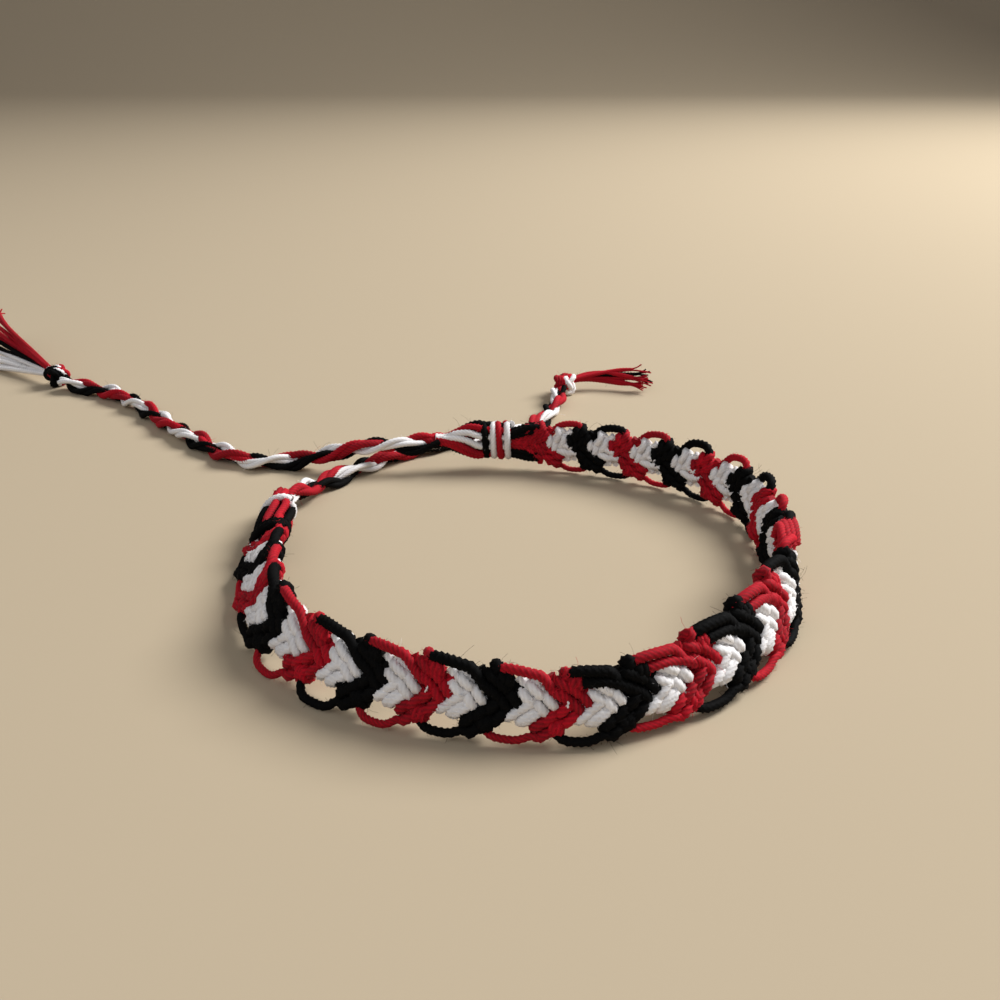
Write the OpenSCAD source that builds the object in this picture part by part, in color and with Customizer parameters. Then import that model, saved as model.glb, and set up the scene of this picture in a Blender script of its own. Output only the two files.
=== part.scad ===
// Bracelet of knotted thread with a plaited tie at each end, standing on its lower edge.
// Millimetres, +Z up. The origin is on the table under the middle of the round band.

/* [Band] */
// Height of the coloured rows' upper ends over the table
band_h = 7.8; // [6.5:0.1:10]
// Height of the coloured rows' lower ends over the table
row_base = 0.9; // [0.7:0.1:1.2]
// Thickness of the knotted rows
row_t = 2.1; // [1.6:0.1:3]
// Thickness of the band in the grooves between rows
groove_t = 1.2; // [0.8:0.1:1.5]
// How far a chevron's tip would lead its ends, were its arms straight to the edges
tip_lead = 3.5; // [2.4:0.1:4]
// How far a chevron's upper end leads its lower end
skew = 1.7; // [0:0.1:2.2]
// How far the rows lie behind their places on the line
row_lag = 2.1; // [1.5:0.1:2.5]
// Length of a white arm across the band, as a share of a coloured one
white_share = 0.62; // [0.5:0.01:0.8]

/* [Edge loops] */
// Thickness of the loops along the lower edge
low_loop_d = 1; // [0.8:0.1:1.2]
// Thickness of the loops along the upper edge
top_loop_d = 1.2; // [0.8:0.1:1.5]
// How far the ends of a lower loop rise above its middle
low_sag = 0.7; // [0.3:0.1:0.9]
// How far the ends of an upper loop lie below its middle
top_arch = 0.2; // [0:0.1:0.6]
// How far the upper loops lie below the rows' upper ends
top_drop = 0.2; // [0:0.1:0.5]
// How far all loops lie outside the band's middle
loop_out = 0.4; // [0:0.1:0.5]

/* [Ties] */
// Width of the plaited ties
tie_d = 2.6; // [2:0.1:2.6]
// Radius of the knot at the end of a tie
tie_knot_r = 2.1; // [1.8:0.1:2.2]
// Radius of a lock of loose thread
lock_r = 0.6; // [0.4:0.05:0.7]

/* [Hidden] */
RED = "#b5101c";
BLACK = "#161518";
WHITE = "#d8d4cf";
PITCH = 6.6;
FIRST_ROW = 3;
LAST_ROW = 25;
mid_h = (row_base + band_h) / 2;
arm_reach = (band_h - row_base) / 2;
groove_reach = arm_reach * (1 + white_share) / 2;
face_reach = arm_reach * 0.75;

// Rows at which the band's two flat ends face the knots
START_FACE = 2.5;
END_FACE = 25.905;

// Gap under the lower loops where the band stands upright. Where it leans outwards they
// come down to the table.
FLOOR_GAP = 0.1;

// Share of an arm's reach at which it turns upright and thins out towards the edge
SHOULDER = 0.75;

// Points across a row's outer face, from the lower to the upper end:
// share of the reach, share of the thickness
FACE = [[-1, 0.4], [-SHOULDER, 1], [0, 1], [SHOULDER, 1], [1, 0.4]];

// The band's line on the table, counter-clockwise past the start knot, with a station
// every second coloured row from row -2 on: x, y, inward lean of the upper edge
LINE = [
    [-25.8, 33.4, 25],
    [-31.5, 21.9, 30],
    [-32, 7.3, 49],
    [-31.2, -4.6, 48],
    [-26.5, -17.4, 31],
    [-15.7, -27.1, 26],
    [-2.9, -31.1, 17],
    [9.7, -30.9, 18],
    [22.3, -22.9, 24],
    [29.7, -10.9, 17],
    [29.1, 1.5, -17],
    [28.5, 12.9, -14],
    [21.2, 22.2, -7],
    [10.3, 27.8, -6],
    [-1.1, 30.2, -3],
    [-14.1, 29.8, 0],
    [-26.8, 29.4, 0]
];

// Outline of the start knot: station on the line, half height, half thickness
START_KNOT = [
    [1.2, 1.3, 1.3],
    [1.32, 1.9, 1.5],
    [1.4, 2.6, 1.8],
    [1.52, 2.8, 1.8],
    [1.6, 2.4, 1.6],
    [1.8, 2.6, 1.8],
    [2.02, 2.6, 1.8],
    [2.12, 2.5, 1.6],
    [2.2, 2.9, 1.9],
    [2.4, 2.9, 1.8],
    [2.475, 2.2, 1.2]
];

// Outline of the end knot and the fan of thread behind it, columns as above
END_KNOT = [
    [25.93, 2.3, 1.2],
    [25.95, 2.8, 1.8],
    [26.0, 2.9, 1.9],
    [26.04, 2.6, 1.6],
    [26.09, 2.9, 1.9],
    [26.2, 2.9, 1.9],
    [26.25, 2.6, 1.6],
    [26.3, 2.9, 1.9],
    [26.42, 2.7, 1.8],
    [26.48, 2.2, 1.3],
    [26.65, 2.3, 1.3],
    [27.0, 1.8, 1.3],
    [27.4, 1.3, 1.3]
];

// Route of the long tie, from the end knot over the short tie to its own knot
LONG_TIE = [
    [-10.4, 29.9, 4.3],
    [-15.8, 29.2, 4.3],
    [-20.8, 29.1, 4.1],
    [-25.8, 29.5, 2.8],
    [-31.3, 30.1, 1.5],
    [-37.6, 30.6, 1.3],
    [-43.3, 34.4, 1.3],
    [-48.6, 39.6, 1.3],
    [-53.6, 45.2, 1.3],
    [-58.9, 51.4, 1.3],
    [-64.2, 57.2, 1.3],
    [-69, 61.1, 1.3],
    [-72.8, 63, 1.3],
    [-75.8, 64.1, 1.5],
    [-78.4, 65.9, 1.9]
];

// Route of the short tie, from the start knot under the long tie to its own knot
SHORT_TIE = [
    [-29.3, 13.8, 3.3],
    [-27.8, 18.4, 2.2],
    [-24.9, 23.9, 1.3],
    [-20.6, 29.2, 1.3],
    [-15.3, 34.4, 1.3],
    [-9.3, 38.2, 1.3],
    [-3.3, 40.2, 1.3],
    [1.7, 42.2, 1.3],
    [4.9, 46.9, 1.3],
    [6.9, 52.9, 1.3],
    [8.1, 58.4, 1.5],
    [8.6, 60.6, 1.9]
];

// Outline of a knot tied in a tie: share of its half length, share of its radius
TIE_KNOT = [[-1, 0.55], [-0.85, 0.9], [-0.4, 1], [-0.1, 0.85], [0.15, 1], [0.75, 0.95], [1, 0.6]];
LONG_KNOT_AT = [-80.3, 67.6];
LONG_KNOT_TURN = 139;
SHORT_KNOT_AT = [9.5, 62.9];
SHORT_KNOT_TURN = 70;

// An edge loop between two coloured rows: rows along its way, share of its bow
LOOP = [[0.02, 1], [0.24, 0.2], [0.44, 0], [0.64, 0.2], [0.86, 1]];
LOW_LOOP_START = -0.2;
TOP_LOOP_START = -0.02;

// A lock of thread along its length: share of the length, share of the radius
LOCK = [[0, 1.4], [0.35, 1.15], [0.7, 0.9], [1, 0.7]];

// Locks of loose thread behind a knot: turn, length, height of the tip over the table
LONG_LOCKS = [
    [-12, 25, 5],
    [-7, 28, 3],
    [0, 26, 1],
    [8, 27, 2.4],
    [16, 21, 0.8]
];
SHORT_LOCKS = [
    [-64, 12.5, 0.7],
    [-59, 13.5, 1.6],
    [-55, 12, 0.8]
];

// Catmull-Rom blend of four neighbouring values
function blend(a, b, c, d, t) =
    b + t * (c - a) / 2
    + t * t * (a - 2.5 * b + 2 * c - 0.5 * d)
    + t * t * t * (1.5 * (b - c) + 0.5 * (d - a));

// The line's x, y and lean at a row number k
function line_at(k) =
    let (u = k / 2 + 1, i = floor(u))
    blend(LINE[i - 1], LINE[i], LINE[i + 1], LINE[i + 2], u - i);

// The point of the band at row number k, height w over its lower edge, depth n outwards
function spot(k, w, n) =
    let (
        p = line_at(k),
        step = line_at(k + 0.05) - line_at(k - 0.05),
        out = [step.y, -step.x] / norm([step.x, step.y]),
        pivot = low_loop_d / 2,
        lean = p[2],
        reach = n * cos(lean) - (w - pivot) * sin(lean),
        rise = pivot + (w - pivot) * cos(lean) + n * sin(lean)
    )
    [p.x + out.x * reach, p.y + out.y * reach, rise + FLOOR_GAP];

// Where a chevron's centre line crosses height w. A bend of 0 makes the line straight.
function chevron(k, w, bend) =
    let (
        lead = tip_lead * (1 - min(abs(w - mid_h) / arm_reach, SHOULDER)),
        slant = skew * (w - mid_h) / band_h
    )
    k + bend * (lead + slant - row_lag) / PITCH;

// The outline of the band along a chevron line, its outer face first
function row_ring(k, reach, t, bend = 1) =
    let (
        face = [for (q = FACE) [mid_h + q[0] * reach, q[1] * t / 2]],
        last = len(face) - 1
    )
    concat(
        [for (i = [0 : last]) spot(chevron(k, face[i][0], bend), face[i][0], face[i][1])],
        [for (i = [last : -1 : 0]) spot(chevron(k, face[i][0], bend), face[i][0], -face[i][1])]
    );

// The outline of the band's flat end beside a knot
function face_ring(k) = row_ring(k, face_reach, row_t, 0);

// An oval across the band's line, for the knots and the edge loops
function oval(k, w, n, half_h, half_t, sides) =
    [for (i = [0 : sides - 1])
        let (a = 360 * i / sides - 90)
        spot(k, w + half_h * sin(a), n + half_t * cos(a))];

// Outlines along an edge loop of radius r that starts at row k: its middle lies at height
// peak, and its ends lie bow higher
function loop_rings(k, r, peak, bow) =
    [for (q = LOOP) oval(k + q[0], peak + q[1] * bow, loop_out, r, r, 6)];

// A round outline across a route, at point i
function route_ring(route, i, r, sides) =
    let (
        last = len(route) - 1,
        way = route[min(i + 1, last)] - route[max(i - 1, 0)],
        side = [way.y, -way.x, 0] / norm([way.x, way.y]),
        up = cross(side, way / norm(way))
    )
    [for (j = [0 : sides - 1]) let (a = 360 * j / sides) route[i] + r * (cos(a) * side + sin(a) * up)];

// A closed skin over rings of equal length. The ends are closed by strips between the
// ring's two halves, so that neighbours with the same ring fit face to face.
module skin(rings) {
    m = len(rings[0]);
    last = len(rings) - 1;
    points = [for (ring = rings) each ring];
    walls = [for (i = [0 : last - 1], j = [0 : m - 1])
        let (a = i * m + j, b = i * m + (j + 1) % m)
        each [[a, b, a + m], [b, b + m, a + m]]];
    ends = [for (j = [0 : m / 2 - 2])
        let (a = j, b = j + 1, c = m - 2 - j, d = m - 1 - j, far = last * m)
        each [[a, c, b], [a, d, c], [far + a, far + b, far + c], [far + a, far + c, far + d]]];
    polyhedron(points = points, faces = concat(walls, ends), convexity = 4);
}

// One row of knots, a chevron between two grooves
module chevron_row(k, share) {
    reach = arm_reach * share;
    skin([
        row_ring(k - 0.25, groove_reach, groove_t),
        row_ring(k - 0.13, reach, row_t),
        row_ring(k + 0.13, reach, row_t),
        row_ring(k + 0.25, groove_reach, groove_t)
    ]);
}

// The loops that pass the white row between coloured rows k and k + 1
module lower_loop(k) {
    skin(loop_rings(k + LOW_LOOP_START, low_loop_d / 2, low_loop_d / 2, low_sag));
}

module upper_loop(k) {
    peak = band_h - top_drop - top_loop_d / 2;
    hull() skin(loop_rings(k + TOP_LOOP_START, top_loop_d / 2, peak, -top_arch));
}

module band() {
    for (k = [FIRST_ROW : LAST_ROW]) {
        tint = k % 2 == 1 ? RED : BLACK;
        color(tint) chevron_row(k, 1);
        if (k > FIRST_ROW) color(WHITE) chevron_row(k - 0.5, white_share);
    }
    for (k = [FIRST_ROW : LAST_ROW - 1]) color(k % 2 == 0 ? RED : BLACK) {
        lower_loop(k);
        upper_loop(k);
    }
    color(WHITE) skin([face_ring(START_FACE), row_ring(FIRST_ROW - 0.25, groove_reach, groove_t)]);
    color(BLACK) skin([row_ring(LAST_ROW + 0.25, groove_reach, groove_t), face_ring(END_FACE)]);
}

module start_knot() {
    color(WHITE) skin([for (row = START_KNOT) oval(row[0], mid_h, 0, row[1], row[2], 12)]);
}

module end_knot() {
    color(RED) skin([for (row = END_KNOT) oval(row[0], mid_h, 0, row[1], row[2], 12)]);
}

module tie(route) {
    skin([for (i = [0 : len(route) - 1]) route_ring(route, i, tie_d / 2, 8)]);
}

module long_tie() {
    color(RED) tie(LONG_TIE);
}

module short_tie() {
    color(RED) tie(SHORT_TIE);
}

// An upright round outline, facing along turn
function disc(centre, turn, r, sides) =
    [for (j = [0 : sides - 1]) let (a = 360 * j / sides)
        centre + r * [sin(turn) * cos(a), -cos(turn) * cos(a), sin(a)]];

// A knot at the end of a tie with locks of loose thread behind it
module tassel(at, turn, locks) {
    centre = [at.x, at.y, tie_knot_r];
    skin([for (q = TIE_KNOT)
        disc(centre + q[0] * tie_knot_r * [cos(turn), sin(turn), 0], turn, q[1] * tie_knot_r, 10)]);
    for (lock = locks) {
        heading = turn + lock[0];
        way = [cos(heading), sin(heading), 0];
        rise = lock[2] - tie_knot_r;
        rings = [for (q = LOCK)
            let (middle = centre + q[0] * lock[1] * way + [0, 0, rise * q[0] * (2 - q[0])])
            disc(middle, heading, lock_r * q[1], 6)];
        for (i = [0 : len(rings) - 2]) hull() skin([rings[i], rings[i + 1]]);
    }
}

module long_tie_tassel() {
    color(BLACK) tassel(LONG_KNOT_AT, LONG_KNOT_TURN, LONG_LOCKS);
}

module short_tie_tassel() {
    color(RED) tassel(SHORT_KNOT_AT, SHORT_KNOT_TURN, SHORT_LOCKS);
}

band();
start_knot();
end_knot();
long_tie();
long_tie_tassel();
short_tie();
short_tie_tassel();
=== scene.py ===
"""Looks of a bracelet of knotted cotton thread, with a plaited tie and a tassel at each end.

Every line of thread is laid in millimetres, in the band by row, height and depth, and
elsewhere in the frame's own axes. Lines become metres as they are laid on a spool.
"""

import math
import random

import bpy
import numpy as np
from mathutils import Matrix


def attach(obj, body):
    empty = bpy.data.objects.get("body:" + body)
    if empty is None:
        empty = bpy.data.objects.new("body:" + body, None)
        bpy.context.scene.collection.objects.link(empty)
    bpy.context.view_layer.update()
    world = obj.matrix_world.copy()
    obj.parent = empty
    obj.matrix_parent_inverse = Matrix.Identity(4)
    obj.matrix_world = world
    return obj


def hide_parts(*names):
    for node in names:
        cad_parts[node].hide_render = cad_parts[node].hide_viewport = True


MM = 0.001
RED, BLACK, WHITE = ALL = "red", "black", "white"

# The band's line on the table, counter-clockwise past the start knot, with a station
# every second coloured row from row -2 on: x, y, inward lean of the upper edge
LINE = np.array([
    [-25.8, 33.4, 25],
    [-31.5, 21.9, 30],
    [-32, 7.3, 49],
    [-31.2, -4.6, 48],
    [-26.5, -17.4, 31],
    [-15.7, -27.1, 26],
    [-2.9, -31.1, 17],
    [9.7, -30.9, 18],
    [22.3, -22.9, 24],
    [29.7, -10.9, 17],
    [29.1, 1.5, -17],
    [28.5, 12.9, -14],
    [21.2, 22.2, -7],
    [10.3, 27.8, -6],
    [-1.1, 30.2, -3],
    [-14.1, 29.8, 0],
    [-26.8, 29.4, 0],
])
# From one coloured row to the next, and the numbers of the first and the last one
PITCH = 6.6
FIRST_ROW, LAST_ROW = 3, 25
# Height of the band's middle, and how far the chevrons' arms reach above and below it
MID_H, ARM_REACH = 4.35, 3.45
# Height of the axis that the band leans about, and how far it stands over the surface
PIVOT, FLOOR_GAP = 0.5, 0.1
# How far the rows on the inner face lie behind those on the outer face
INNER_LAG = 0.9

# How the rows differ round the band: row number, how far they lead their places, extra
# height of the upper edge, arch of the upper loops, tuck of the lower loops
FIT = np.array([
    [2.6, 0, 0, 0, 0.5],
    [4, 0, 0.5, 0, 0.5],
    [5, 0.3, 0.9, 0, 0.5],
    [6, 1, 1.1, 0, 0.4],
    [7, 1, 0.6, 0, -0.6],
    [8, 1, 0.55, 0, -0.7],
    [9, 0.5, 0.6, 0, -0.3],
    [10, 0, 0.35, 0, 0],
    [11, 0, 0.1, 0, 0],
    [12, 0, 0.4, 0, 0],
    [13, 0, 0.95, 0, 0.4],
    [14, 0, 1.4, 0, 0],
    [15, 0, 1.8, 0, 0],
    [16, 0, 1.2, 0.3, 0],
    [17, 0, 0.4, 0.7, 0],
    [18, 0, 0.1, 1.1, 0],
    [22, 0, 0.1, 1.0, 0],
    [24, 0, 0.1, 0.5, 0],
    [25, 0, 0.1, 0.4, 0],
    [25.8, 0, 0, 0, 0],
])

# Route of the long tie, from the end knot over the short tie to its own knot
LONG_TIE = [
    [-10.4, 29.9, 4.3],
    [-15.8, 29.2, 4.3],
    [-20.8, 29.1, 4.1],
    [-25.8, 29.5, 2.8],
    [-31.3, 30.1, 1.5],
    [-37.6, 30.6, 1.3],
    [-43.3, 34.4, 1.3],
    [-48.6, 39.6, 1.3],
    [-53.6, 45.2, 1.3],
    [-58.9, 51.4, 1.3],
    [-64.2, 57.2, 1.3],
    [-69, 61.1, 1.3],
    [-72.8, 63, 1.3],
    [-75.8, 64.1, 1.5],
    [-78.4, 65.9, 1.9],
]

# Route of the short tie, from the start knot under the long tie to its own knot
SHORT_TIE = [
    [-29.3, 13.8, 3.3],
    [-27.8, 18.4, 2.2],
    [-24.9, 23.9, 1.3],
    [-20.6, 29.2, 1.3],
    [-15.3, 34.4, 1.3],
    [-9.3, 38.2, 1.3],
    [-3.3, 40.2, 1.3],
    [1.7, 42.2, 1.3],
    [4.9, 46.9, 1.3],
    [6.9, 52.9, 1.3],
    [8.1, 58.4, 1.5],
    [8.6, 60.6, 1.9],
]

# The knots at the ends of the ties: radius, places, and headings of the tassels
TIE_KNOT_R = 2.1
LONG_KNOT_AT, LONG_KNOT_TURN = (-80.3, 67.6), math.radians(139)
SHORT_KNOT_AT, SHORT_KNOT_TURN = (9.5, 62.9), math.radians(70)
# Their threads from left to right, seen along the tie
LONG_KNOT_COLOURS = (BLACK, BLACK, WHITE, RED)
SHORT_KNOT_COLOURS = (RED, RED, RED, WHITE)
# Size and depth of their loops, radius of a thread, points along it
LOOP_SIZE, LOOP_DEPTH, LOOP_R, LOOP_POINTS = 0.54, 0.55, 0.5, 40
# The thread that fills such a knot: places along it, radius
FILL_WAY, FILL_R = (-1.1, -0.4, 0.4, 1.1), 1.1
# Threads that come out of such a knot: number, places along them, radius, way off its axis
OUT_THREADS, OUT_WAY, OUT_R, OUT_APART = 6, (0, 0.7, 1.4, 2.0), 0.6, 0.8

# Loose threads of the tassels: turn in degrees, length, height of the tip, colour
LONG_THREADS = [
    (-10, 33, 6.2, RED),
    (-9, 34, 5.6, RED),
    (-8, 33, 5.0, RED),
    (-7, 34, 4.4, RED),
    (-5, 33, 3.8, RED),
    (-3, 32, 3.2, BLACK),
    (-1, 31, 2.6, BLACK),
    (2, 29, 2.2, WHITE),
    (4, 30, 1.8, WHITE),
    (7, 28, 1.2, WHITE),
    (10, 27, 0.9, WHITE),
    (14, 23, 0.6, WHITE),
]
SHORT_THREADS = [
    (-61, 12.2, 1.9, RED),
    (-60.5, 12.5, 2.4, RED),
    (-60, 12.8, 2.9, RED),
    (-59.5, 12.4, 2.2, RED),
    (-59, 13.3, 2.6, BLACK),
    (-59, 12, 1.7, RED),
    (-60, 13.1, 3.1, BLACK),
    (-60.5, 12.4, 3.4, RED),
]
# Points along a loose thread, share of its turn that it has as it leaves the knot, and how
# far it bows up or down
LOOSE_POINTS, LOOSE_START, LOOSE_BOW = 12, 0.35, 0.5
# Its radius at shares of its length
LOOSE_R = [0, 0.85, 1], [0.45, 0.43, 0.3]
# How far it sways sideways, least and most
LOOSE_SWAY = 0.3, 0.8
# How far the waves of its sway and of its bow run from end to end, in radians
LOOSE_WAVES = 5, 4
# Plies of a frayed end: number, radius, how far they spread, least and most length
FRAY_PLIES, FRAY_R, FRAY_SPREAD, FRAY_REACH = 5, 0.13, 0.55, (1.2, 2.2)
# How they leave the thread: place past its end, share of the spread. The last share is
# that of their ends.
FRAY_WAY, FRAY_END = [(-0.6, 0.25), (0.5, 0.6)], 1.6

# Thread: radius, length of one turn of its twist, number of plies
THREAD = {RED: (0.51, 2.6, 5), BLACK: (0.58, 3.0, 5), WHITE: (0.51, 2.6, 5)}
# How uneven the twist is: least and most length of a turn, as shares of the usual length
TWIST = 0.9, 1.1
# How far apart a thread's cross sections lie, outside and where it is hidden
STEP, CORE_STEP = 0.29, 0.6
# How deep the grooves between the plies are, as a share of the radius
RIDGE = {RED: 0.17, BLACK: 0.19, WHITE: 0.15}
# Fuzz of each cotton, short and stray: fibres for each square millimetre, length, thickness
FUZZ = {
    RED: [(1.0, 0.5, 0.016), (0.02, 1.8, 0.016)],
    BLACK: [(0.8, 0.7, 0.016), (0.07, 2.6, 0.015)],
    WHITE: [(0.6, 0.5, 0.014), (0.01, 1.8, 0.014)],
}
# How much more fuzz the tassels have
TASSEL_FUZZ = 1.5
# Cottons: colour in the grooves, which is painted shade, colour on the plies, weight and
# tint of the sheen, gloss
COTTON = {
    RED: ((0.09, 0.0, 0.002), (0.6, 0.0, 0.014), 0.1, (1, 0.25, 0.3), 0.3),
    BLACK: ((0.0, 0.0, 0.0), (0.002, 0.0018, 0.0018), 0.0, (1, 1, 1), 0.12),
    WHITE: ((0.7, 0.67, 0.66), (0.97, 0.95, 0.94), 0.15, (1, 1, 1), 0.3),
}

# Knots of a coloured and of a white row: place along the band, height, heading of the
# strokes in degrees, half length of a stroke, times that the thread goes round
COLOURED_KNOTS = [
    (-1.65, 1.7, 28, 0.62, 2),
    (-0.45, 2.25, 32, 0.74, 2),
    (0.85, 3.0, 34, 0.74, 2),
    (2.05, 4.0, -58, 0.62, 2),
    (1.05, 4.9, -47, 0.74, 2),
    (0.35, 5.3, -38, 0.68, 2),
]
WHITE_KNOTS = [
    (-0.9, 2.8, 24, 0.7, 1),
    (0.3, 2.75, 29, 0.85, 1),
    (0.5, 3.2, 29, 0.9, 2),
    (2.05, 3.8, -58, 0.62, 2),
    (0.75, 4.65, -44, 0.75, 2),
]
# Rows whose upper arm is doubled along the edge, how far the second thread lies ahead of
# the upper loop and below it, and where it ends
LONG_ARM_ROWS = range(12, 16)
LONG_ARM_SHIFT, LONG_ARM_DROP = 0.4, 0.95
LONG_ARM_END = [(-0.2, 4.9, 0.6), (0.8, 4.3, 0.3)]
# Row whose upper knots lie open over the edge, and their way: along the band, height, depth
OPEN_ROW = 17
OPEN_KNOTS = [
    (-2.6, 6.2, 0.5),
    (-1.2, 7.2, 0.3),
    (0.4, 7.6, 0.0),
    (1.9, 7.4, -0.2),
    (3.1, 6.6, -0.35),
    (3.4, 5.6, -0.4),
]
# How far out from that way each of their threads lies, and how far ahead as a share of it
OPEN_SHIFTS, OPEN_SPREAD = (-0.9, -0.45, 0.0, 0.45), 1.2
# Half thickness of a knot, and the way from one of its strokes to the next
KNOT_DEPTH, STROKE_GAP = 0.56, 1.05
# Share of that way that the thread goes on the outer face
FACE_DRIFT = 0.3
# Where a thread of its own and one from an edge loop start round their knot, in half turns
OWN_START, LED_START = 1.0, 0.78
# Power that flattens a wave's top. The lower it is, the straighter lies a stroke.
FLATTEN = 0.7
# Points on one turn of thread in a knot, in a bump and in a wrap
KNOT_STEPS, BUMP_STEPS, WRAP_STEPS = 12, 12, 14
# How uneven the knots are: along the band, height, heading, share of a stroke's length
UNEVEN = (0.09, 0.07, 5, 0.05)
# How much thicker the thread is for each millimetre that the rows are higher
SWELL = 0.1
# Height where the extra height of the rows starts, height over which it builds up, and its
# largest share
RISE_FROM, RISE_OVER, RISE_MOST = 2, 4.3, 1.1
# Heights at which a row's lead is given, and the shares of it there
LEAD_AT, LEAD_SHARE = [1, 4, 7], [1.5, 0.9, 0.1]
# How far the last knots lie behind the last row, in rows
END_GAP = 0.24
# Middle line of a row: heights, and places along the band
ROW_LINE = [0.9, 1.7, 3.0, 3.9, 5.05, 6.0, 7.0], [-2.0, -1.2, 0.85, 1.8, 1.05, -0.1, -0.5]
# Radius of the threads inside a row, half the way between them, and points along one
CORE_R, CORE_APART, CORE_POINTS = 0.5, 0.6, 9
# Lowest and highest point of the threads inside a coloured row and a white one. The white
# ones reach higher under a loop that arches.
COLOURED_CORE, WHITE_CORE, ARCHED_CORE = (1.5, 6.4), (2.3, 5.9), (2.3, 6.3)
# Places of the tufts of lint: row number, along the band, height
LINT = [(9, 0.8, 4.1), (9.5, 0.8, 4.1), (10.5, 0.8, 4.3), (11, 0.8, 4.1)]
# Fibres in a tuft, how far they reach, their radius, and their depth from end to end
LINT_FIBRES, LINT_REACH, LINT_R, LINT_OUT = 4, 0.35, 0.06, (0.95, 1.2, 1.15)

# Edge loops in the places of the row that they run into: along the band, height, depth
UPPER_LOOP = [
    (-6.0, 6.3, 0.0),
    (-5.5, 6.6, 0.3),
    (-4.8, 6.7, 0.5),
    (-3.6, 6.65, 0.62),
    (-2.5, 6.5, 0.62),
    (-1.6, 6.3, 0.55),
]
LOWER_LOOP = [
    (-7.1, 1.6, 0.0),
    (-6.6, 1.0, 0.3),
    (-5.9, 0.65, 0.45),
    (-4.9, 0.52, 0.45),
    (-3.9, 0.52, 0.45),
    (-3.2, 0.72, 0.45),
    (-2.5, 1.0, 0.5),
]
# Thickness of a lower loop, as a share of its thread's
LOW_LOOP_SHARE = 0.78
# Stretch of a half wave that lifts an edge loop, and how far it then draws in, as a share
LOOP_WAVE, LOOP_DRAW = (0.01, 3.13), 0.4
# The bumps of thread round the edge beside a row's ends: along the band, height
EDGE_BUMPS = (1.7, 5.75), (-0.2, 1.85)
# Half height of a bump, its length along the band, and how far before it the thread starts
BUMP_H, BUMP_WAY, BUMP_LEAD = 0.5, 0.9, 0.6
# Points along a bump, for nearly two turns
BUMP_POINTS = 22

# Threads from the start knot to the first row: colour, height in the row
START_GATHER = [
    (WHITE, 2.2), (WHITE, 3.0), (BLACK, 3.9), (RED, 4.8), (BLACK, 5.7), (RED, 6.4)]
# Their way: row number, share of the height off the band's middle, share of the depth
START_WAY = [(2.35, 0.85, 1), (2.55, 0.9, 1.3), (2.75, 1, 1), (3.0, 1, 0.6)]
# Threads from the last row to the end knot: colour, height in the row and at the knot
END_GATHER = [
    (BLACK, 6.4, 5.3), (BLACK, 5.7, 4.8), (RED, 5.0, 4.5), (RED, 4.3, 4.1), (RED, 3.5, 3.7),
    (BLACK, 2.7, 3.2), (BLACK, 2.0, 2.6)]
# Their way: row number, share of the height at the knot, share of the depth
END_WAY = [(25.15, 0, 0.6), (25.4, 0, 1), (25.65, 0.5, 1.1), (25.9, 1, 1)]
# Half the way between the outer and the inner layer of these threads
GATHER_DEPTH = 0.5

# The way from one turn of a wrap to the next, in radii of its thread
WRAP_GAP = 1.9
# Wraps of a knot: colour, first and last row number, half height, half thickness, way round
START_WRAPS = [(WHITE, 1.68, 1.8, 2.7, 2.1, 1), (BLACK, 2.54, 2.8, 2.9, 1.95, -1)]
END_WRAPS = [
    (WHITE, 25.84, 25.94, 2.9, 1.9, 1),
    (RED, 25.97, 26.15, 2.95, 1.95, 1),
    (WHITE, 26.19, 26.26, 2.85, 1.9, 1),
    (BLACK, 26.32, 26.46, 2.8, 1.85, 1),
]
# Bundles of threads along the knots: the colours round the bundle, and its stations, each
# with a row number, half the height and thickness there, and how far it has turned in radians
START_OUTER = (RED, RED, BLACK, RED, BLACK, WHITE, BLACK, BLACK), [
    (1.62, 1.7, 1.1, 0),
    (1.8, 2.0, 1.35, 0.1),
    (2.05, 2.2, 1.5, 0),
    (2.4, 2.1, 1.4, -0.2),
    (2.7, 1.8, 1.1, -0.1),
]
START_INNER = (RED, BLACK, RED, WHITE, RED, RED), [
    (1.8, 1.4, 1.0, 0),
    (1.64, 1.4, 1.1, 0.1),
    (1.45, 1.1, 0.9, 0.5),
    (1.25, 0.8, 0.7, 0.9),
    (1.1, 0.6, 0.6, 1.2),
]
# Row numbers and radius of the thread that fills the start knot
START_FILL, START_FILL_R = (1.5, 1.8, 2.1, 2.4), 1.3
END_FAN = (RED, BLACK, BLACK, RED, WHITE, WHITE, RED, RED, BLACK, WHITE), [
    (25.85, 1.9, 1.0, 0),
    (26.4, 2.2, 1.0, 0),
    (26.6, 2.4, 1.05, -0.1),
    (26.8, 2.1, 1.0, -0.4),
    (27.05, 1.3, 0.9, -0.8),
    (27.27, 0.6, 0.7, -1.2),
    (27.5, 0.6, 0.65, -1.5),
]

# Bundles of a plait: colour, radius of a thread, how far the bundle lies below the middle
PLAIT = [(RED, 0.56, 0.0), (WHITE, 0.42, 0.0), (BLACK, 0.48, 0.35)]
# Length of one turn of the plait and of one turn of the two threads in a bundle
PLAIT_TURN, BUNDLE_TURN = 18.6, 11
# How far a bundle swings sideways and up, and how far its threads do
PLAIT_SWING, BUNDLE_SWING = (0.8, 0.5), (0.36, 0.34)


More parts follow.
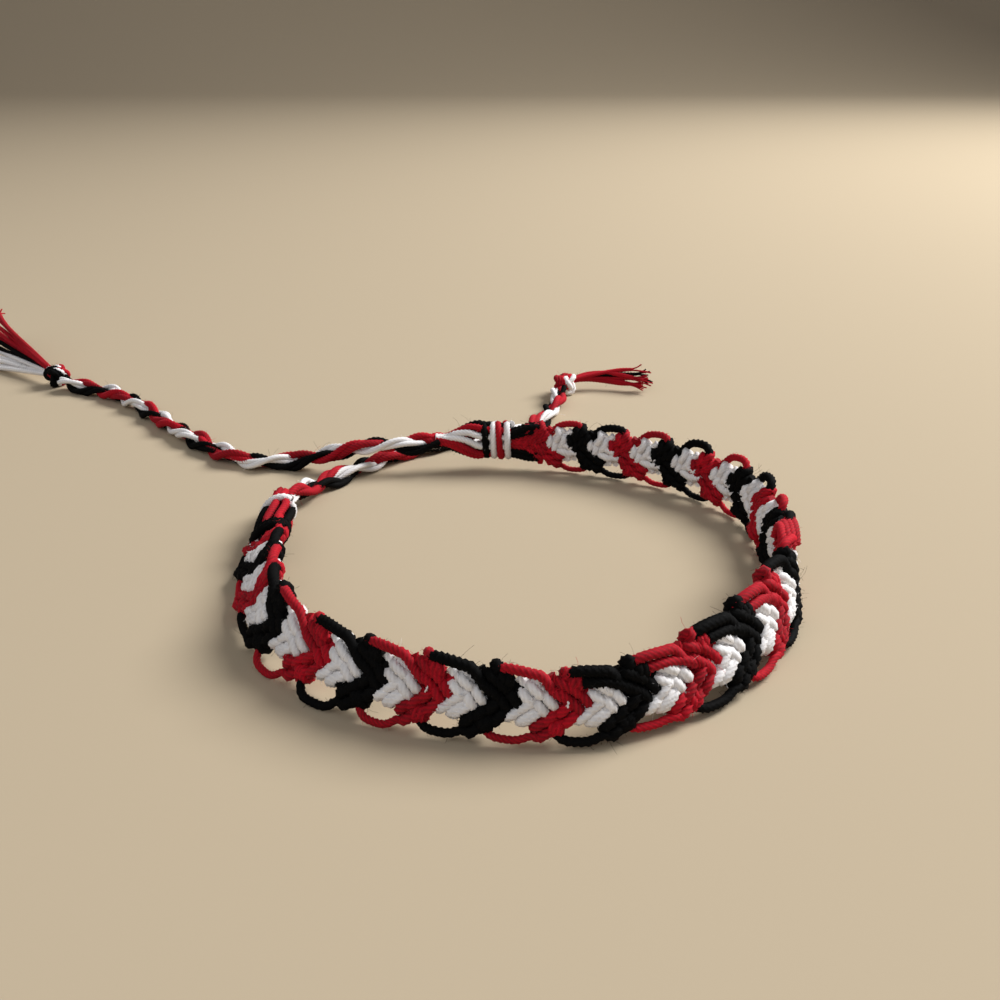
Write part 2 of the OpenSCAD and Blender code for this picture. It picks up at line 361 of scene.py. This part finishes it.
class Value:
    """An output of a node. The operators on it add Math nodes."""

    def __init__(self, graph, node, out):
        self.graph, self.node, self.out = graph, node, out

    def __getitem__(self, out):
        return Value(self.graph, self.node, out)

    @property
    def socket(self):
        if isinstance(self.out, int):
            return self.node.outputs[self.out]
        return next(s for s in self.node.outputs if s.name == self.out and s.enabled)

    def maths(self, operation, *values):
        return self.graph.add("ShaderNodeMath", dict(enumerate(values)), operation=operation)

    def __add__(self, other):
        return self.maths("ADD", self, other)

    def __sub__(self, other):
        return self.maths("SUBTRACT", self, other)

    def __rsub__(self, other):
        return self.maths("SUBTRACT", other, self)

    def __mul__(self, other):
        return self.maths("MULTIPLY", self, other)

    def __truediv__(self, other):
        return self.maths("DIVIDE", self, other)

    def __mod__(self, other):
        return self.maths("MODULO", self, other)

    __radd__, __rmul__ = __add__, __mul__


class Graph:
    """A node tree, for a material or for Geometry Nodes."""

    def __init__(self, tree):
        self.tree = tree

    def add(self, kind, values=None, out=0, **settings):
        """Adds a node of that kind, sets its settings, then its sockets by name or place."""
        node = self.tree.nodes.new(kind)
        for name, setting in settings.items():
            setattr(node, name, setting)
        for name, value in (values or {}).items():
            if isinstance(name, int):
                socket = node.inputs[name]
            else:
                socket = next(s for s in node.inputs if s.name == name and s.enabled)
            if isinstance(value, Value):
                self.tree.links.new(value.socket, socket)
            else:
                socket.default_value = value
        return Value(self, node, out)


def shape_tree(name, inputs):
    """A Geometry Nodes tree with named inputs, and the node that they come from."""
    tree = bpy.data.node_groups.new(name, "GeometryNodeTree")
    tree.interface.new_socket("Shape", in_out="OUTPUT", socket_type="NodeSocketGeometry")
    for label, kind in inputs.items():
        tree.interface.new_socket(label, in_out="INPUT", socket_type="NodeSocket" + kind)
    graph = Graph(tree)
    return graph, graph.add("NodeGroupInput")


def end_tree(graph, shape, material):
    """Closes a tree with its material on plain, smooth geometry."""
    shape = graph.add("GeometryNodeSetMaterial", {"Geometry": shape, "Material": material})
    shape = graph.add("GeometryNodeSetShadeSmooth", {"Geometry": shape})
    shape = graph.add("GeometryNodeRealizeInstances", {"Geometry": shape})
    graph.add("NodeGroupOutput", {"Shape": shape})
    return graph.tree


def shaped(obj, tree, values):
    """The mesh that a tree makes of obj, with the tree's inputs set."""
    modifier = obj.modifiers.new(tree.name, "NODES")
    modifier.node_group = tree
    for item in tree.interface.items_tree:
        if item.in_out == "INPUT" and item.name in values:
            modifier[item.identifier] = values[item.name]
    graph = bpy.context.evaluated_depsgraph_get()
    mesh = bpy.data.meshes.new_from_object(
        obj.evaluated_get(graph), preserve_all_data_layers=True, depsgraph=graph)
    obj.modifiers.remove(modifier)
    return mesh


def yarn_tree():
    """Spins bare lines into twisted thread. Its plies stand out as ridges that turn along it."""
    graph, given = shape_tree("yarn", {
        "Lines": "Geometry", "Plies": "Int", "Ridge": "Float", "Cotton": "Material"})

    def carried(name):
        return graph.add("GeometryNodeInputNamedAttribute", {"Name": name}, data_type="FLOAT")

    curve = graph.add("GeometryNodeMeshToCurve", {"Mesh": given["Lines"]})
    curve = graph.add("GeometryNodeCurveSplineType", {"Curve": curve}, spline_type="CATMULL_ROM")
    curve = graph.add("GeometryNodeSetSplineResolution", {"Geometry": curve, "Resolution": 6})
    curve = graph.add(
        "GeometryNodeResampleCurve", {"Curve": curve, "Length": carried("step")}, mode="LENGTH")
    length = graph.add("GeometryNodeSplineParameter", out="Length")
    turn = length / carried("turn_length") * math.tau + carried("phase")
    curve = graph.add("GeometryNodeSetCurveTilt", {"Curve": curve, "Tilt": turn})

    ring = graph.add(
        "GeometryNodeCurvePrimitiveCircle", {"Resolution": given["Plies"] * 2, "Radius": 1.0})
    groove = graph.add("GeometryNodeInputIndex") % 2
    inwards = graph.add(
        "ShaderNodeVectorMath",
        {0: graph.add("GeometryNodeInputPosition"), "Scale": groove * given["Ridge"] * -1},
        operation="SCALE")
    ring = graph.add("GeometryNodeSetPosition", {"Geometry": ring, "Offset": inwards})
    # The crest value, 1 on the plies and 0 in the grooves, tells the cotton where to paint shade
    # in the grooves.
    ring = graph.add(
        "GeometryNodeStoreNamedAttribute",
        {"Geometry": ring, "Name": "crest", "Value": 1 - groove},
        data_type="FLOAT", domain="POINT")
    yarn = graph.add("GeometryNodeCurveToMesh", {
        "Curve": curve, "Profile Curve": ring, "Scale": carried("thick"), "Fill Caps": True})
    return end_tree(graph, yarn, given["Cotton"])


def fuzz_tree():
    """Fine loose fibres that stand off a thread, bent and turned every way, over the floor.
    The shortest has about a third of the full length."""
    graph, given = shape_tree("fuzz", {
        "Thread": "Geometry", "Density": "Float", "Length": "Float", "Thickness": "Float",
        "Seed": "Int", "Cotton": "Material"})

    def chance(low, high, shift, kind="FLOAT"):
        return graph.add(
            "FunctionNodeRandomValue",
            {"Min": low, "Max": high, "Seed": given["Seed"] + shift},
            out="Value", data_type=kind)

    roots = graph.add("GeometryNodeDistributePointsOnFaces", {
        "Mesh": given["Thread"], "Density": given["Density"], "Seed": given["Seed"]}, out="Points")
    bend = graph.add("GeometryNodeCurveQuadraticBezier", {
        "Resolution": 3,
        "Start": (0, 0, -0.1), "Middle": (0.1, 0.05, 0.5), "End": (0.6, 0.1, 0.7)})
    section = graph.add("GeometryNodeCurvePrimitiveCircle", {"Resolution": 3, "Radius": 1.0})
    fibre = graph.add("GeometryNodeCurveToMesh", {
        "Curve": bend, "Profile Curve": section, "Scale": given["Thickness"]})
    # Fibres carry crest 1, so the cotton paints no groove shade on them.
    fibre = graph.add(
        "GeometryNodeStoreNamedAttribute", {"Geometry": fibre, "Name": "crest", "Value": 1.0},
        data_type="FLOAT", domain="POINT")
    most = 0.7, 0.7, math.pi
    spin = chance([-angle for angle in most], most, 1, "FLOAT_VECTOR")
    facing = graph.add(
        "FunctionNodeRotateRotation", {"Rotation": roots["Rotation"], "Rotate By": spin},
        rotation_space="LOCAL")
    fibres = graph.add("GeometryNodeInstanceOnPoints", {
        "Points": roots, "Instance": fibre, "Rotation": facing,
        "Scale": given["Length"] * chance(0.35, 1.0, 2)})
    fibres = graph.add("GeometryNodeRealizeInstances", {"Geometry": fibres})
    at = graph.add("ShaderNodeSeparateXYZ", {"Vector": graph.add("GeometryNodeInputPosition")})
    height = at["Z"].maths("MAXIMUM", at["Z"], 0.0)
    above = graph.add("ShaderNodeCombineXYZ", {"X": at["X"], "Y": at["Y"], "Z": height})
    fibres = graph.add("GeometryNodeSetPosition", {"Geometry": fibres, "Position": above})
    return end_tree(graph, fibres, given["Cotton"])


def cotton(name, groove, crest, sheen, tint, gloss):
    """Matt cotton: darker between the plies as painted shade, uneven along the thread, finely
    fibrous.
    """
    material = bpy.data.materials.new(name)
    material.use_nodes = True
    graph = Graph(material.node_tree)
    graph.tree.nodes.clear()
    where = graph.add("ShaderNodeTexCoord", out="Object")

    def attribute(label):
        return graph.add("ShaderNodeAttribute", out="Fac", attribute_name=label)

    patches = graph.add(
        "ShaderNodeTexNoise", {"Vector": where, "Scale": 420.0, "Detail": 3.0}, out="Fac")
    fibres = graph.add(
        "ShaderNodeTexNoise", {"Vector": where, "Scale": 5200.0, "Detail": 2.0}, out="Fac")
    # Mix factor: the crest value paints shade into the grooves; the noises and the tone are the
    # cotton's own uneven colour.
    painted_shade_and_tone = attribute("crest") * 0.5 + patches * 0.45 + fibres * 0.3 + attribute("tone") * 0.3 - 0.2
    colour = graph.add(
        "ShaderNodeMix", {"Factor": painted_shade_and_tone, "A": (*groove, 1), "B": (*crest, 1)},
        out="Result", data_type="RGBA", clamp_factor=True)
    bump = graph.add(
        "ShaderNodeBump", {"Strength": 0.5, "Distance": 0.04 * MM, "Height": fibres})
    surface = graph.add("ShaderNodeBsdfPrincipled", {
        "Base Color": colour,
        "Roughness": 0.96 - fibres * 0.25,
        "Normal": bump,
        "Sheen Weight": sheen,
        "Sheen Roughness": 0.45,
        "Sheen Tint": (*tint, 1),
        "Specular IOR Level": gloss,
    })
    graph.add("ShaderNodeOutputMaterial", {"Surface": surface})
    return material


def cottons():
    """The three cottons by colour."""
    return {colour: cotton(colour + " cotton", *values) for colour, values in COTTON.items()}


class Spool:
    """Lines of thread of one piece, sorted by colour until they are spun."""

    def __init__(self, seed):
        self.chance = random.Random(seed)
        self.lines = {colour: [] for colour in ALL}

    def lay(self, colour, points, radius=None, step=STEP):
        """Lays one thread along points. The radius is one number or one for each point."""
        points = np.array(points, float)
        radius = np.broadcast_to(THREAD[colour][0] if radius is None else radius, len(points))
        points[:, 2] = np.maximum(points[:, 2], radius)
        self.lines[colour].append({
            "points": points * MM,
            "thick": radius * MM,
            "turn_length": THREAD[colour][1] * MM * self.chance.uniform(*TWIST),
            "phase": self.chance.uniform(0, math.tau),
            "step": step * MM,
            "tone": self.chance.uniform(0, 1),
        })

    def wires(self, name, colour):
        """The bare lines of one colour as a mesh of edges that carries their values."""
        lines = self.lines[colour]
        sizes = [len(line["points"]) for line in lines]
        starts = np.cumsum([0] + sizes)
        edges = [(i, i + 1) for a, n in zip(starts, sizes) for i in range(a, a + n - 1)]
        mesh = bpy.data.meshes.new(name)
        mesh.from_pydata(np.concatenate([line["points"] for line in lines]).tolist(), edges, [])
        for label in ("thick", "turn_length", "phase", "step", "tone"):
            values = [np.broadcast_to(line[label], n) for line, n in zip(lines, sizes)]
            mesh.attributes.new(label, "FLOAT", "POINT").data.foreach_set(
                "value", np.concatenate(values).astype(np.float32))
        obj = bpy.data.objects.new(name, mesh)
        bpy.context.scene.collection.objects.link(obj)
        return obj


def joined(name, meshes):
    """One object of several meshes, each with its own material."""
    parts = [bpy.data.objects.new(name, mesh) for mesh in meshes]
    for part in parts:
        bpy.context.scene.collection.objects.link(part)
    with bpy.context.temp_override(
        active_object=parts[0], object=parts[0], selected_objects=parts,
        selected_editable_objects=parts):
        bpy.ops.object.join()
    parts[0].name = name
    return parts[0]


def spun(name, spool, colours, trees, materials, node, fuzz=1.0):
    """Spins the lines of those colours into one piece with its fuzz, in a CAD node's place."""
    meshes = []
    for colour in colours:
        if not spool.lines[colour]:
            continue
        wires = spool.wires(name + "_lines", colour)
        thread = shaped(wires, trees["yarn"], {
            "Plies": THREAD[colour][2], "Ridge": RIDGE[colour], "Cotton": materials[colour]})
        bpy.data.objects.remove(wires)
        bare = bpy.data.objects.new(name + "_bare", thread)
        bpy.context.scene.collection.objects.link(bare)
        meshes.append(thread)
        for density, length, thickness in FUZZ[colour]:
            meshes.append(shaped(bare, trees["fuzz"], {
                "Density": density * fuzz / MM**2, "Length": length * MM,
                "Thickness": thickness / length, "Seed": spool.chance.randrange(1000),
                "Cotton": materials[colour]}))
        bpy.data.objects.remove(bare)
    piece = joined(name, meshes)
    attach(piece, "root")
    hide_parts(node)
    return piece


def blend(a, b, c, d, t):
    """The value at share t of the way from b to c, on a smooth curve from a to d."""
    return (
        b + t * (c - a) / 2
        + t**2 * (a - 2.5 * b + 2 * c - 0.5 * d)
        + t**3 * (1.5 * (b - c) + 0.5 * (d - a)))


def line_at(k):
    """The line's x, y and lean at a row number k, blended as in the part's source."""
    u = k / 2 + 1
    i = math.floor(u)
    a, b, c, d = LINE[i - 1:i + 3]
    return blend(a, b, c, d, u - i)


def fit(k):
    """The values of FIT at row number k: lead, height, arch and tuck."""
    return [np.interp(k, FIT[:, 0], FIT[:, i]) for i in (1, 2, 3, 4)]


def spot(k, w, n):
    """The point of the band at row number k, height w over its lower edge, depth n outwards."""
    lead, height, _, _ = fit(k)
    k += lead * np.interp(w, LEAD_AT, LEAD_SHARE) / PITCH
    w += height * np.clip((w - RISE_FROM) / RISE_OVER, 0, RISE_MOST)
    x, y, lean = line_at(k)
    near = 0.05
    ahead = (line_at(k + near) - line_at(k - near))[:2]
    out_x, out_y = np.array([ahead[1], -ahead[0]]) / np.hypot(*ahead)
    lean = math.radians(lean)
    reach = n * math.cos(lean) - (w - PIVOT) * math.sin(lean)
    rise = PIVOT + (w - PIVOT) * math.cos(lean) + n * math.sin(lean)
    return x + out_x * reach, y + out_y * reach, rise + FLOOR_GAP


def place(row, s, w, n):
    """A point of the band, s millimetres along it from a row's place."""
    lag = INNER_LAG * max(0, -n) * max(0, 1 - abs(w - MID_H) / ARM_REACH)
    return spot(row + (s - lag) / PITCH, w, n)


def squared(x):
    """A wave with a flatter top, so that a stroke lies straight along its arm."""
    return math.copysign(abs(x) ** FLATTEN, x)


def edge_loop(loop, lift):
    """The way of an edge loop into a row, its middle lifted and drawn in."""
    bow = lift * np.sin(np.linspace(*LOOP_WAVE, len(loop))) ** 0.5
    return [(s, w + b, n - LOOP_DRAW * b) for (s, w, n), b in zip(loop, bow)]


def knot(row, at, lead=()):
    """One knot: the thread goes round the threads inside it, and its strokes run along the
    arm, with those on the outer face round its middle. A lead runs into it from outside."""
    s, w, heading, half, turns = at
    start = LED_START if lead else OWN_START
    along, up = math.cos(math.radians(heading)), math.sin(math.radians(heading))
    points = [place(row, *p) for p in lead]
    for i in range(round(turns * KNOT_STEPS) + 1):
        angle = math.pi * (start - 2 * i / KNOT_STEPS)
        whole, part = divmod(i / KNOT_STEPS, 1)
        drift = np.interp(part, [0, 0.5, 1], [0, FACE_DRIFT, 1])
        apart = STROKE_GAP * (whole + drift - (turns - 1 + FACE_DRIFT) / 2)
        a = half * squared(math.cos(angle))
        n = KNOT_DEPTH * squared(math.sin(angle))
        points.append(place(row, s + a * along - apart * up, w + a * up + apart * along, n))
    points.append(place(row, s, w, 0))
    return points


def coloured_row(spool, colour, k, uneven):
    """The knots of coloured row k, with the edge loops that run into them."""
    _, height, arch, tuck = fit(k)
    thick = THREAD[colour][0] * (1 + SWELL * height)
    loops = {}
    if k > FIRST_ROW:
        loops = {
            0: edge_loop(LOWER_LOOP, tuck),
            len(COLOURED_KNOTS) - 1: edge_loop(UPPER_LOOP, arch)}
    for i, at in enumerate(COLOURED_KNOTS):
        lead = loops.get(i, ())
        points = knot(k, uneven(at), lead)
        radius = np.full(len(points), thick)
        if i == 0:
            radius[:len(lead)] *= LOW_LOOP_SHARE
        spool.lay(colour, points, radius)
    if k in LONG_ARM_ROWS:
        below = [(s + LONG_ARM_SHIFT, w - LONG_ARM_DROP, n) for s, w, n in UPPER_LOOP[2:]]
        spool.lay(colour, [place(k, *p) for p in below + LONG_ARM_END], thick)
    if k == OPEN_ROW:
        for shift in OPEN_SHIFTS:
            spool.lay(colour, [
                place(k, s + shift * OPEN_SPREAD, w, n + shift) for s, w, n in OPEN_KNOTS], thick)
    core(spool, colour, k, *COLOURED_CORE)


def white_row(spool, k, uneven):
    """The knots of the white row before coloured row k."""
    _, height, arch, _ = fit(k)
    thick = THREAD[WHITE][0] * (1 + SWELL * height)
    for at in WHITE_KNOTS:
        spool.lay(WHITE, knot(k - 0.5, uneven(at)), thick)
    core(spool, WHITE, k - 0.5, *(ARCHED_CORE if arch else WHITE_CORE))


def knotted_band(spool):
    """Rows of knots from the start knot to the end knot, with the loops along both edges."""
    vary = spool.chance.uniform
    ds, dw, turn, stretch = UNEVEN

    def uneven(at):
        s, w, heading, half, turns = at
        return (
            s + vary(-ds, ds), w + vary(-dw, dw), heading + vary(-turn, turn),
            half * vary(1 - stretch, 1 + stretch), turns)

    for k in range(FIRST_ROW, LAST_ROW + 1):
        colour = RED if k % 2 else BLACK
        coloured_row(spool, colour, k, uneven)
        if k > FIRST_ROW:
            white_row(spool, k, uneven)
        if k < LAST_ROW:
            edge_bumps(spool, colour, k)
    for at in COLOURED_KNOTS[1:5]:
        spool.lay(RED, knot(LAST_ROW + END_GAP, uneven(at)))


def lint(spool):
    """Tufts of white fibre that stand on the rows at the front."""
    low, middle, high = LINT_OUT
    for k, s, w in LINT:
        for _ in range(LINT_FIBRES):
            a, b, c = (spool.chance.uniform(-LINT_REACH, LINT_REACH) for _ in range(3))
            spool.lay(WHITE, [
                place(k, s - a, w - b, low),
                place(k, s, w, middle),
                place(k, s + a * 0.6, w + b, high + 0.3 * c)], LINT_R)


def core(spool, colour, row, low, high):
    """The threads that a row's knots are tied round."""
    for side in (-CORE_APART, CORE_APART):
        way = [
            place(row, np.interp(w, *ROW_LINE) + side, w, 0)
            for w in np.linspace(low, high, CORE_POINTS)]
        spool.lay(colour, way, CORE_R, CORE_STEP)


def edge_bumps(spool, colour, k):
    """The thread goes nearly twice round the band's edge beside each end of a row."""
    for s, w in EDGE_BUMPS:
        way = [place(k, s - BUMP_LEAD, w, 0)]
        for i in range(BUMP_POINTS):
            angle = math.tau * i / BUMP_STEPS
            way.append(place(
                k, s + BUMP_WAY * (i / (BUMP_POINTS - 1) - 0.5),
                w + BUMP_H * math.cos(angle), KNOT_DEPTH * math.sin(angle)))
        spool.lay(colour, way, step=STEP / 2)


def gathers(spool):
    """The threads between the knots at the ends and the first and last row."""
    for n in (-GATHER_DEPTH, GATHER_DEPTH):
        for colour, w in START_GATHER:
            spool.lay(colour, [
                spot(k, MID_H + (w - MID_H) * share, n * deep) for k, share, deep in START_WAY])
        for colour, first, last in END_GATHER:
            spool.lay(colour, [
                spot(k, first + (last - first) * share, n * deep) for k, share, deep in END_WAY])


def wrapped(spool, colour, first, last, half_h, half_t, side):
    """Thread wound round the band's line from one row number to another."""
    radius = THREAD[colour][0]
    turns = max(1, round((last - first) * PITCH / (radius * WRAP_GAP)))
    count = turns * WRAP_STEPS
    way = []
    for i in range(count + 1):
        angle = math.tau * i / WRAP_STEPS
        way.append(spot(
            first + (last - first) * i / count,
            MID_H + (half_h - radius) * math.cos(angle),
            side * (half_t - radius) * math.sin(angle)))
    spool.lay(colour, way)


def bundle(spool, colours, stations):
    """Threads side by side round the band's line, through the stations of a bundle."""
    for i, colour in enumerate(colours):
        turn = math.tau * (i + 0.5) / len(colours)
        spool.lay(colour, [
            spot(k, MID_H + h * math.sin(turn + twist), t * math.cos(turn + twist))
            for k, h, t, twist in stations])


def start_knot(spool):
    """Wound thread where the band begins, with the tie's threads coming out of it."""
    wrapped(spool, *START_WRAPS[0])
    bundle(spool, *START_OUTER)
    bundle(spool, *START_INNER)
    spool.lay(BLACK, [spot(k, MID_H, 0) for k in START_FILL], START_FILL_R)
    wrapped(spool, *START_WRAPS[1])


def end_knot(spool):
    """Wound thread where the band ends, and the fan of threads that narrows to the tie."""
    for wrap in END_WRAPS:
        wrapped(spool, *wrap)
    bundle(spool, *END_FAN)


def smooth_way(route, gap=2.2, steps=16):
    """Points at even distances on one smooth curve through a route."""
    route = np.array(route, float)
    ends = np.vstack([2 * route[0] - route[1], route, 2 * route[-1] - route[-2]])
    fine = []
    for a, b, c, d in zip(ends, ends[1:], ends[2:], ends[3:]):
        fine += [blend(a, b, c, d, t) for t in np.linspace(0, 1, steps, endpoint=False)]
    fine = np.array(fine + [route[-1]])
    far = np.concatenate([[0], np.cumsum(np.linalg.norm(np.diff(fine, axis=0), axis=1))])
    even = np.linspace(0, far[-1], max(2, round(far[-1] / gap) + 1))
    return np.column_stack([np.interp(even, far, fine[:, i]) for i in range(3)]), even


def across(way):
    """Level and upright directions across a way, one of each for every point."""
    ahead = np.gradient(way, axis=0)
    ahead /= np.linalg.norm(ahead, axis=1)[:, None]
    side = np.cross(ahead, (0, 0, 1))
    side /= np.linalg.norm(side, axis=1)[:, None]
    return side, np.cross(side, ahead)


def plait(spool, route):
    """Three bundles of two threads, plaited along a route."""
    way, far = smooth_way(route, gap=0.5)
    side, up = across(way)
    for i, (colour, thick, low) in enumerate(PLAIT):
        turn = math.tau * (far / PLAIT_TURN + i / len(PLAIT))
        for twin in (0, math.pi):
            lie = math.tau * far / BUNDLE_TURN + twin + i
            x = PLAIT_SWING[0] * np.sin(turn) + BUNDLE_SWING[0] * np.cos(lie)
            z = PLAIT_SWING[1] * np.sin(2 * turn) + BUNDLE_SWING[1] * np.sin(lie) - low
            spool.lay(colour, way + side * x[:, None] + up * z[:, None], thick)


def tie_knot(spool, at, turn, colours):
    """An overhand knot at the end of a tie: its threads side by side, tied in a trefoil."""
    centre = np.array([*at, TIE_KNOT_R])
    ahead = np.array([math.cos(turn), math.sin(turn), 0])
    side, up = np.array([ahead[1], -ahead[0], 0]), np.array([0, 0, 1])
    middle = (len(colours) - 1) / 2
    for i, colour in enumerate(colours):
        way = []
        for t in np.linspace(0, math.tau, LOOP_POINTS):
            x = LOOP_SIZE * (math.sin(t) + 2 * math.sin(2 * t))
            y = LOOP_DEPTH * (i - middle - math.sin(3 * t))
            z = LOOP_SIZE * (math.cos(t) - 2 * math.cos(2 * t))
            way.append(centre + ahead * x + side * y + up * z)
        spool.lay(colour, way, LOOP_R)
    spool.lay(colours[0], [centre + side * y for y in FILL_WAY], FILL_R)
    for i in range(OUT_THREADS):
        angle = math.tau * i / OUT_THREADS
        root = centre + OUT_APART * (side * math.cos(angle) + up * math.sin(angle))
        way = [root + ahead * x for x in OUT_WAY]
        spool.lay(colours[i % len(colours)], way, OUT_R)


def loose_threads(spool, at, turn, threads):
    """Thread ends behind a knot, each with a turn, a length and a height of its tip."""
    chance = spool.chance
    shares = np.linspace(0, 1, LOOSE_POINTS)
    for heading, length, tip, colour in threads:
        start = turn + math.radians(heading * LOOSE_START)
        end = turn + math.radians(heading)
        sway, phase = chance.uniform(*LOOSE_SWAY), chance.uniform(0, math.tau)
        way = []
        for t in shares:
            angle = start + (end - start) * t
            side = sway * math.sin(phase + LOOSE_WAVES[0] * t) * t
            bow = LOOSE_BOW * math.sin(phase + LOOSE_WAVES[1] * t) * t
            way.append([
                at[0] + length * t * math.cos(angle) - side * math.sin(angle),
                at[1] + length * t * math.sin(angle) + side * math.cos(angle),
                TIE_KNOT_R + (tip - TIE_KNOT_R) * t * (2 - t) + bow])
        spool.lay(colour, way, np.interp(shares, *LOOSE_R))
        fray(spool, colour, way)


def fray(spool, colour, way):
    """The plies of a cut thread, opened at its end."""
    chance = spool.chance
    end, back = np.array(way[-1]), np.array(way[-3])
    ahead = (end - back) / np.linalg.norm(end - back)
    for _ in range(FRAY_PLIES):
        away = np.array([chance.uniform(-1, 1) for _ in range(3)]) * FRAY_SPREAD
        stations = FRAY_WAY + [(chance.uniform(*FRAY_REACH), FRAY_END)]
        spool.lay(colour, [end + ahead * far + away * share for far, share in stations], FRAY_R)


def ties(trees, materials):
    """The two plaited ties with their knots and tassels."""
    for name, route, slot, at, turn, threads, colours in (
        ("long_tie", LONG_TIE, "black_thread", LONG_KNOT_AT, LONG_KNOT_TURN, LONG_THREADS,
         LONG_KNOT_COLOURS),
        ("short_tie", SHORT_TIE, "red_thread", SHORT_KNOT_AT, SHORT_KNOT_TURN, SHORT_THREADS,
         SHORT_KNOT_COLOURS),
    ):
        spool = Spool(name)
        plait(spool, route)
        tie = spun(name + "_plait", spool, ALL, trees, materials, name)
        node = name + "_tassel"
        spool = Spool(node)
        tie_knot(spool, at, turn, colours)
        loose_threads(spool, at, turn, threads)
        tassel = spun(
            node + "_threads", spool, ALL, trees, materials, node, TASSEL_FUZZ)
        path, far = smooth_way(route)


def band(trees, materials):
    """The knotted band as three pieces, one for each cotton."""
    spool = Spool("band")
    knotted_band(spool)
    gathers(spool)
    lint(spool)
    for colour in ALL:
        name, slot = f"band_{colour}_threads", f"{colour}_thread"
        spun(name, spool, (colour,), trees, materials, "band")


def end_knots(trees, materials):
    """The wrapped knots at the band's two ends."""
    for name, make, slot in (
        ("start_knot", start_knot, "white_thread"), ("end_knot", end_knot, "red_thread")):
        spool = Spool(name)
        make(spool)
        spun(name + "_threads", spool, ALL, trees, materials, name)


def camera():
    """The camera at the photo's angle."""
    data = bpy.data.cameras.new("camera")
    data.lens, data.sensor_width = 36, 36
    data.clip_start, data.clip_end = 0.005, 10
    obj = bpy.data.objects.new("camera", data)
    obj.location = (-0.0017, -0.1026, 0.057)
    obj.rotation_euler = (math.radians(65), 0, 0)
    bpy.context.scene.collection.objects.link(obj)
    bpy.context.scene.camera = obj


def floor():
    """A plain pale floor that sweeps up into a plain backdrop."""
    wide, front, foot, radius, top = 4.0, -1.5, 1.0, 0.8, 3.0
    side = [(front, 0.0), (foot, 0.0)]
    side += [
        (foot + radius * math.sin(turn), radius * (1 - math.cos(turn)))
        for turn in np.linspace(0, math.pi / 2, 24)[1:]]
    side.append((foot + radius, top))
    corners = [(x, y, z) for y, z in side for x in (-wide, wide)]
    faces = [(2 * i, 2 * i + 1, 2 * i + 3, 2 * i + 2) for i in range(len(side) - 1)]
    mesh = bpy.data.meshes.new("floor")
    mesh.from_pydata(corners, [], faces)
    mesh.polygons.foreach_set("use_smooth", [True] * len(faces))
    material = bpy.data.materials.new("pale floor")
    material.use_nodes = True
    graph = Graph(material.node_tree)
    graph.tree.nodes.clear()
    surface = graph.add("ShaderNodeBsdfPrincipled", {
        "Base Color": (0.48, 0.393, 0.275, 1), "Roughness": 0.9, "Specular IOR Level": 0.1})
    graph.add("ShaderNodeOutputMaterial", {"Surface": surface})
    mesh.materials.append(material)
    obj = bpy.data.objects.new("floor", mesh)
    bpy.context.scene.collection.objects.link(obj)


def lamp(name, at, size, power):
    """A large soft lamp that faces the origin."""
    data = bpy.data.lights.new(name, "AREA")
    data.shape, data.size, data.energy = "DISK", size, power
    obj = bpy.data.objects.new(name, data)
    obj.location = at
    x, y, z = at
    obj.rotation_euler = (math.atan2(math.hypot(x, y), z), 0, math.atan2(-y, -x) - math.pi / 2)
    bpy.context.scene.collection.objects.link(obj)


def light():
    """Soft light from behind and above, with a weaker one in front."""
    lamp("window light", at=(0.62, 0.32, 0.6), size=0.5, power=12.5)
    lamp("fill light", at=(-0.25, -0.45, 0.5), size=0.8, power=1.3)
    world = bpy.data.worlds.new("studio")
    world.use_nodes = True
    background = world.node_tree.nodes["Background"]
    background.inputs["Color"].default_value = (0.9, 0.92, 1, 1)
    background.inputs["Strength"].default_value = 0.27
    bpy.context.scene.world = world
    bpy.context.scene.view_settings.view_transform = "Standard"


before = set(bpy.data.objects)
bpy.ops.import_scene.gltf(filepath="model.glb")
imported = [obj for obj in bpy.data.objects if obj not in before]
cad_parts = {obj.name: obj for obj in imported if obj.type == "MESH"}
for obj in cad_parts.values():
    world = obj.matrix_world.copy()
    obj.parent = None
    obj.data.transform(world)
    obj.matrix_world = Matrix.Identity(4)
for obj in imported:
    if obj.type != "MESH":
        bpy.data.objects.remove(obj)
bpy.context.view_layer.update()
camera()
tools = {"yarn": yarn_tree(), "fuzz": fuzz_tree()}
finishes = cottons()
ties(tools, finishes)
band(tools, finishes)
end_knots(tools, finishes)
floor()
light()
